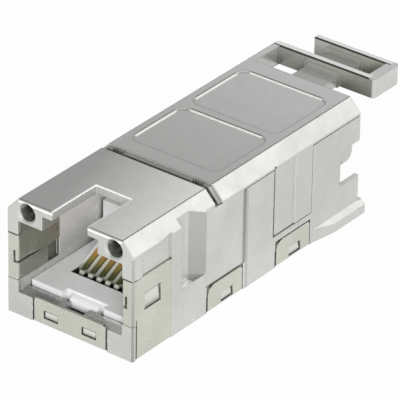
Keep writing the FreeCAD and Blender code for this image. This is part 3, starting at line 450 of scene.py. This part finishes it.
def rounded_edges(tree, radius_mm):
    """Rounded normal of the edges, and a value that is high where the surface turns over one."""
    rounded = add_node(tree, "ShaderNodeBevel", {"samples": EDGE_SAMPLES}, {"Radius": radius_mm * MM})
    flat = add_node(tree, "ShaderNodeNewGeometry")
    turn = add_node(
        tree,
        "ShaderNodeVectorMath",
        {"operation": "DOT_PRODUCT"},
        links={0: rounded.outputs["Normal"], 1: flat.outputs["Normal"]},
    )
    edge_share = add_node(
        tree,
        "ShaderNodeMapRange",
        inputs={"From Min": 1.0, "From Max": FULL_EDGE_COSINE, "To Min": 0.0, "To Max": 1.0},
        links={"Value": turn.outputs["Value"]},
    )
    return rounded.outputs["Normal"], edge_share.outputs["Result"]


def painted_seam_shade(tree, colour, seam):
    """Paint shade into a colour deep in seams and corners."""
    shade = add_node(
        tree,
        "ShaderNodeAmbientOcclusion",
        {"samples": SEAM_SAMPLES},
        {"Distance": seam.reach * MM},
    )
    unshaded = add_node(
        tree,
        "ShaderNodeMapRange",
        inputs={"From Min": seam.full, "From Max": seam.end, "To Min": 0.0, "To Max": 1.0},
        links={"Value": shade.outputs["AO"]},
    )
    seam_shaded = add_node(
        tree,
        "ShaderNodeMix",
        {"data_type": "RGBA"},
        {6: (*linear_colour(seam.colour), 1.0)},
        {0: unshaded.outputs["Result"], 7: colour},
    )
    return seam_shaded.outputs[2]


def edged(tree, colour, normal, edge_share, edge):
    """Paint a highlight on upright edges, and a dark line of shade where a rounded edge leaves a level top.
    """
    parts = add_node(tree, "ShaderNodeSeparateXYZ", links={0: normal})
    leaving = colour_ramp(tree, parts.outputs["Z"], RIDGE_SHADE_LINE)
    standing = add_node(
        tree,
        "ShaderNodeMapRange",
        inputs={"From Min": UPRIGHT_EDGE[0], "From Max": UPRIGHT_EDGE[1], "To Min": 1.0, "To Max": 0.0},
        links={"Value": parts.outputs["Z"]},
    )
    highlight_share = add_node(
        tree,
        "ShaderNodeMath",
        {"operation": "MULTIPLY"},
        links={0: edge_share, 1: standing.outputs["Result"]},
    )
    for factor, shade in ((highlight_share.outputs[0], edge.upright), (leaving.outputs["Color"], edge.top)):
        lined = add_node(
            tree,
            "ShaderNodeMix",
            {"data_type": "RGBA"},
            {7: (*linear_colour(shade), 1.0)},
            {0: factor, 6: colour},
        )
        colour = lined.outputs[2]
    return colour


def spotted_roughness(tree, spots, roughness, duller):
    """Roughness that is a little lower and higher from spot to spot."""
    spread = add_node(
        tree,
        "ShaderNodeMapRange",
        inputs={
            "From Min": SPOT_NOISE[0],
            "From Max": SPOT_NOISE[1],
            "To Min": roughness - SHINIER,
            "To Max": roughness + duller,
        },
        links={"Value": spots.outputs["Fac"]},
    )
    return spread.outputs["Result"]


def plated_metal(name, colours, metallic, roughness, edge, seam, top_shade=None, painted_shades=(), painted_lines=()):
    """Satin plated metal: soft clouds of tone, a painted highlight on upright edges, a painted dark line
    round its tops, painted shade in its seams.

    Painted shade drifts over the level tops, painted light and shade lie under the seam shade and edges, and
    painted lines of light and shade are drawn over them.
    """
    material, tree = new_material(name)
    colour, shine = clouded(tree, PLATING_CLOUDS, colours, metallic, detail=3.0)
    if top_shade:
        colour = shade_level_tops(tree, colour, *top_shade)
    colour, shine = lay_painted_shade(tree, colour, shine, painted_shades)
    normal, edge_share = rounded_edges(tree, edge.radius)
    colour = painted_seam_shade(tree, colour, seam)
    if edge.upright:
        colour = edged(tree, colour, normal, edge_share, edge)
    colour, shine = lay_painted_shade(tree, colour, shine, painted_lines)
    spots = surface_noise(tree, PLATING_SPOTS)
    dullness = spotted_roughness(tree, spots, roughness, DULLER_PLATING)
    shader = add_node(
        tree,
        "ShaderNodeBsdfPrincipled",
        links={
            "Metallic": shine,
            "Base Color": colour,
            "Roughness": dullness,
            "Normal": normal,
        },
    )
    add_node(tree, "ShaderNodeOutputMaterial", links={"Surface": shader.outputs["BSDF"]})
    return material


def moulded_plastic(name, colours, roughness, grain, edge_mm, painted_shades=()):
    """Moulded plastic: nearly even colour with a fine grain, given as its size and depth in millimetres."""
    material, tree = new_material(name)
    colour, shine = clouded(tree, PLASTIC_CLOUDS, colours, metallic=0.0)
    colour, shine = lay_painted_shade(tree, colour, shine, painted_shades)
    rounded = add_node(tree, "ShaderNodeBevel", {"samples": EDGE_SAMPLES}, {"Radius": edge_mm * MM})
    grain_size, grain_depth = grain
    spots = surface_noise(tree, grain_size)
    dullness = spotted_roughness(tree, spots, roughness, DULLER_PLASTIC)
    bump = add_node(
        tree,
        "ShaderNodeBump",
        inputs={"Strength": GRAIN_STRENGTH, "Distance": grain_depth * MM},
        links={"Height": spots.outputs["Fac"], "Normal": rounded.outputs["Normal"]},
    )
    shader = add_node(
        tree,
        "ShaderNodeBsdfPrincipled",
        inputs={"IOR": 1.5},
        links={
            "Base Color": colour,
            "Metallic": shine,
            "Roughness": dullness,
            "Normal": bump.outputs["Normal"],
        },
    )
    add_node(tree, "ShaderNodeOutputMaterial", links={"Surface": shader.outputs["BSDF"]})
    return material


def finish(names, material):
    """Give CAD nodes their material."""
    for name in names:
        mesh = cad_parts[name].data
        mesh.materials.clear()
        mesh.materials.append(material)


class CastingSettings(bpy.types.PropertyGroup):
    """Finish of the die-cast body and its cover."""

    light: bpy.props.StringProperty(
        name="Light tone",
        description="Lighter sRGB tone of the plating",
        default="#CFD0CC",
    )
    dark: bpy.props.StringProperty(
        name="Dark tone",
        description="Darker sRGB tone of the plating",
        default="#C4C5C1",
    )
    roughness: bpy.props.FloatProperty(
        name="Roughness",
        description="How satin the plating is",
        default=0.24,
        min=0.05,
        max=1.0,
    )
    edge: bpy.props.FloatProperty(
        name="Edge",
        description="Radius of the cast edges, in millimetres",
        default=0.13,
        min=0.0,
    )


class ShieldSettings(bpy.types.PropertyGroup):
    """Finish of the folded sheet."""

    light: bpy.props.StringProperty(
        name="Light tone",
        description="Lighter sRGB tone of the sheet",
        default="#CFCFC5",
    )
    dark: bpy.props.StringProperty(
        name="Dark tone",
        description="Darker sRGB tone of the sheet",
        default="#C6C6BC",
    )
    roughness: bpy.props.FloatProperty(
        name="Roughness",
        description="How satin the sheet is",
        default=0.26,
        min=0.05,
        max=1.0,
    )


class StageSettings(bpy.types.PropertyGroup):
    """Camera and floor."""

    distance: bpy.props.FloatProperty(
        name="Distance",
        description="Distance of the camera from its target",
        default=0.3993629,
        unit="LENGTH",
    )
    azimuth: bpy.props.FloatProperty(
        name="Azimuth",
        description="Turn of the camera about the socket",
        default=math.radians(37.017),
        subtype="ANGLE",
    )
    elevation: bpy.props.FloatProperty(
        name="Elevation",
        description="Height of the camera as an angle",
        default=math.radians(30.0257),
        subtype="ANGLE",
    )
    roll: bpy.props.FloatProperty(
        name="Roll",
        description="Turn of the camera about its own view",
        default=math.radians(1.0272),
        subtype="ANGLE",
    )
    target: bpy.props.FloatVectorProperty(
        name="Target",
        description="Point that the camera turns about",
        default=(0.0, -0.00625, 0.006),
        subtype="XYZ",
    )
    offset: bpy.props.FloatVectorProperty(
        name="Offset",
        description="Shift of the camera across its view",
        default=(0.0025686, 0.0012828),
        size=2,
    )
    focal_pixels: bpy.props.FloatProperty(
        name="Focal length",
        description="Focal length in pixels of the picture",
        default=4333.63,
    )
    floor: bpy.props.StringProperty(
        name="Floor",
        description="sRGB colour of the floor",
        default="#F4F4F2",
    )


class SOCKET_OT_castings(bpy.types.Operator):
    """Finish the die-cast body and the rear cover."""

    bl_idname = "socket.castings"
    bl_label = "Die-cast body and cover"

    def execute(self, context):
        settings = context.scene.socket_casting
        # Zinc die casting with a satin plating: soft clouds of tone, a painted highlight on upright edges,
        # painted shade in seams.
        for name in CASTINGS:
            material = plated_metal(
                "satin_plated_zinc_" + name,
                colours=(settings.dark, settings.light),
                metallic=0.6,
                roughness=settings.roughness,
                edge=Edge(settings.edge, upright="#E2E3E0", top="#5E5F5B"),
                seam=Seam("#2E2F2B", reach=2.5, full=0.10, end=0.42),
                top_shade=CASTING_TOP_SHADES[name],
                painted_shades=CASTING_PAINTED_SHADES[name],
                painted_lines=CASTING_PAINTED_LINES[name],
            )
            finish([name], material)
        return {"FINISHED"}


class SOCKET_OT_shield(bpy.types.Operator):
    """Finish the folded spring shield."""

    bl_idname = "socket.shield"
    bl_label = "Folded shield"

    def execute(self, context):
        settings = context.scene.socket_shield
        # Rolled spring strip, punched, folded and nickel plated: flatter and warmer than the casting.
        material = plated_metal(
            "nickel_plated_spring_strip",
            colours=(settings.dark, settings.light),
            metallic=0.7,
            roughness=settings.roughness,
            # Painted highlight on upright edges, a painted dark line where edges leave a top, painted shade
            # in seams
            edge=Edge(radius=0.09, upright="#E0E0D8", top="#7A7A70"),
            seam=Seam("#2B2C25", reach=1.6, full=0.10, end=0.42),
            painted_shades=(LEAF_INSIDE_SHADE,),
            painted_lines=(FRONT_CORNER_SHADE,),
        )
        finish(SHIELDS, material)
        return {"FINISHED"}


class SOCKET_OT_contacts(bpy.types.Operator):
    """Finish the eight spring contacts and the blades."""

    bl_idname = "socket.contacts"
    bl_label = "Contacts and blades"

    def execute(self, context):
        # Phosphor bronze strip with a thin gold plating, drawn smooth: warm, with a painted highlight on the
        # noses.
        gold = plated_metal(
            "gold_plated_bronze_strip",
            colours=("#B09C58", "#C8B878"),
            metallic=1.0,
            roughness=0.2,
            edge=Edge(radius=0.02),
            # Painted shade deep in seams and corners
            seam=Seam("#24200F", reach=0.3, full=0.05, end=0.45),
            painted_shades=(CONTACT_SHADE_AND_HIGHLIGHT,),
        )
        finish(CONTACTS, gold)
        # Blades punched from strip and tin plated: pale and a little dull.
        tin = plated_metal(
            "tin_plated_blade_strip",
            colours=("#C9CACA", "#D8D9D8"),
            metallic=0.8,
            roughness=0.3,
            # Painted highlight on upright edges, a painted dark line where edges leave a top, painted shade
            # in seams
            edge=Edge(radius=0.03, upright="#F0F0F0", top="#8A8A8A"),
            seam=Seam("#505050", reach=0.3, full=0.10, end=0.50),
        )
        finish(BLADES, tin)
        return {"FINISHED"}


class SOCKET_OT_mouldings(bpy.types.Operator):
    """Finish the contact insert, the wiring blocks and the board."""

    bl_idname = "socket.mouldings"
    bl_label = "Insert, wiring blocks and board"

    def execute(self, context):
        # Glass-filled nylon, light grey, moulded in a spark-eroded mould: matt with a fine grain.
        insert = moulded_plastic(
            "light_grey_nylon_insert",
            colours=("#EDEEEE", "#F2F3F3"),
            roughness=0.4,
            grain=ERODED_GRAIN,
            edge_mm=BLOCK_EDGE,
            # Painted shade on the comb and a painted shadow in the window under the contact noses
            painted_shades=(COMB_SHADE, CONTACT_WINDOW_SHADOW),
        )
        finish(INSERTS, insert)
        # Black polycarbonate from the same kind of mould.
        block = moulded_plastic(
            "black_polycarbonate_block",
            colours=("#1D1D1F", "#252527"),
            roughness=0.4,
            grain=ERODED_GRAIN,
            edge_mm=BLOCK_EDGE,
        )
        finish(WIRING_BLOCKS, block)
        # Glass-epoxy board under green solder resist: smoother than the mouldings.
        board = moulded_plastic(
            "green_solder_resist_board",
            colours=("#1F5B33", "#27693C"),
            roughness=0.3,
            grain=BOARD_GRAIN,
            edge_mm=BOARD_EDGE,
        )
        finish(BOARDS, board)
        return {"FINISHED"}


class SOCKET_OT_stage(bpy.types.Operator):
    """Set the floor, the light and the camera."""

    bl_idname = "socket.stage"
    bl_label = "Studio"

    def execute(self, context):
        settings = context.scene.socket_stage
        context.scene.view_settings.view_transform = "Standard"
        self.place_camera(context, settings)
        self.lay_floor(settings)
        self.light_world(context)
        self.hang_lamps(context)
        return {"FINISHED"}

    def place_camera(self, context, settings):
        """Look at the socket from the picture's side."""
        azimuth, elevation, roll = settings.azimuth, settings.elevation, settings.roll
        back = Vector((
            math.sin(azimuth) * math.cos(elevation),
            -math.cos(azimuth) * math.cos(elevation),
            math.sin(elevation),
        ))
        right = (-back).cross(Vector(UP)).normalized()
        up = right.cross(-back)
        across = right * math.cos(roll) + up * math.sin(roll)
        upright = up * math.cos(roll) - right * math.sin(roll)
        place = Vector(settings.target) + back * settings.distance
        place += across * settings.offset[0] + upright * settings.offset[1]
        data = bpy.data.cameras.new("picture_camera")
        data.sensor_fit = "HORIZONTAL"
        data.sensor_width = SENSOR
        data.lens = settings.focal_pixels / IMAGE_WIDTH * SENSOR
        data.clip_start = 0.01
        data.clip_end = 10.0
        camera = bpy.data.objects.new("picture_camera", data)
        turn = Matrix((across, upright, back)).transposed().to_4x4()
        camera.matrix_world = Matrix.Translation(place) @ turn
        context.scene.collection.objects.link(camera)
        context.scene.camera = camera

    def lay_floor(self, settings):
        """Lay a pale floor that shows white to the camera and in the metal, and keeps a soft shadow."""
        bpy.ops.mesh.primitive_plane_add(size=FLOOR_SIZE, location=(0, 0, 0))
        floor = bpy.context.object
        floor.name = "studio_floor"
        material, tree = new_material("pale_studio_floor")
        rays = add_node(tree, "ShaderNodeLightPath")
        seen = add_node(
            tree,
            "ShaderNodeMath",
            {"operation": "MULTIPLY_ADD"},
            {1: FLOOR_IN_METAL},
            {0: rays.outputs["Is Glossy Ray"], 2: rays.outputs["Is Camera Ray"]},
        )
        share = add_node(
            tree,
            "ShaderNodeMath",
            {"operation": "MINIMUM"},
            {1: FLOOR_TO_CAMERA},
            {0: seen.outputs[0]},
        )
        pale = (*linear_colour(settings.floor), 1.0)
        paint = add_node(tree, "ShaderNodeBsdfDiffuse", inputs={"Color": pale})
        glow = add_node(tree, "ShaderNodeEmission", inputs={"Color": (*WHITE, 1.0), "Strength": 1.0})
        mix = add_node(
            tree,
            "ShaderNodeMixShader",
            links={0: share.outputs[0], 1: paint.outputs[0], 2: glow.outputs[0]},
        )
        add_node(tree, "ShaderNodeOutputMaterial", links={"Surface": mix.outputs[0]})
        floor.data.materials.append(material)

    def light_world(self, context):
        """Surround the socket with a pale room: darker to the left and overhead, white to the camera."""
        world = bpy.data.worlds.new("pale_room")
        world.use_nodes = True
        tree = world.node_tree
        tree.nodes.clear()
        direction = add_node(tree, "ShaderNodeTexCoord")
        parts = add_node(tree, "ShaderNodeSeparateXYZ", links={0: direction.outputs["Generated"]})
        sideways = add_node(
            tree,
            "ShaderNodeMapRange",
            inputs={"From Min": -1.0, "From Max": 1.0},
            links={"Value": parts.outputs["X"]},
        )
        across = colour_ramp(tree, sideways.outputs["Result"], ROOM_ACROSS)
        up = colour_ramp(tree, parts.outputs["Z"], ROOM_UP)
        shell = add_node(
            tree,
            "ShaderNodeMix",
            {"data_type": "RGBA", "blend_type": "MULTIPLY"},
            {0: 1.0},
            {6: across.outputs["Color"], 7: up.outputs["Color"]},
        )
        rays = add_node(tree, "ShaderNodeLightPath")
        picture = add_node(
            tree,
            "ShaderNodeMix",
            {"data_type": "RGBA"},
            {7: (*WHITE, 1.0)},
            {0: rays.outputs["Is Camera Ray"], 6: shell.outputs[2]},
        )
        light = add_node(
            tree,
            "ShaderNodeBackground",
            inputs={"Strength": 1.0},
            links={"Color": picture.outputs[2]},
        )
        add_node(tree, "ShaderNodeOutputWorld", links={"Surface": light.outputs[0]})
        context.scene.world = world

    def hang_lamps(self, context):
        """Hang two large soft lamps that aim at the socket."""
        for name, place, size, power, mirrored in LAMPS:
            data = bpy.data.lights.new(name, "AREA")
            data.shape = "DISK"
            data.size = size
            data.energy = power
            lamp = bpy.data.objects.new(name, data)
            lamp.visible_glossy = mirrored
            aim = -Vector(place)
            lamp.matrix_world = Matrix.Translation(place) @ aim.to_track_quat("-Z", "Y").to_matrix().to_4x4()
            context.scene.collection.objects.link(lamp)


class SOCKET_PT_panel(bpy.types.Panel):
    """Lists the steps that dress the socket."""

    bl_idname = "SOCKET_PT_panel"
    bl_label = "Network socket"
    bl_space_type = "VIEW_3D"
    bl_region_type = "UI"
    bl_category = "Socket"

    def draw(self, context):
        for operator in OPERATORS:
            self.layout.operator(operator.bl_idname)


OPERATORS = (SOCKET_OT_castings, SOCKET_OT_shield, SOCKET_OT_contacts, SOCKET_OT_mouldings, SOCKET_OT_stage)
GROUPS = {"socket_casting": CastingSettings, "socket_shield": ShieldSettings, "socket_stage": StageSettings}


def register():
    """Register the settings, the operators and the panel."""
    for name, group in GROUPS.items():
        bpy.utils.register_class(group)
        setattr(bpy.types.Scene, name, bpy.props.PointerProperty(type=group))
    for operator in OPERATORS:
        bpy.utils.register_class(operator)
    bpy.utils.register_class(SOCKET_PT_panel)


def unregister():
    """Take everything out again."""
    bpy.utils.unregister_class(SOCKET_PT_panel)
    for operator in reversed(OPERATORS):
        bpy.utils.unregister_class(operator)
    for name, group in GROUPS.items():
        delattr(bpy.types.Scene, name)
        bpy.utils.unregister_class(group)


def main():
    """Dress the socket and set the stage."""
    register()
    bpy.ops.socket.castings()
    bpy.ops.socket.shield()
    bpy.ops.socket.contacts()
    bpy.ops.socket.mouldings()
    bpy.ops.socket.stage()


if __name__ == "__main__":
    main()
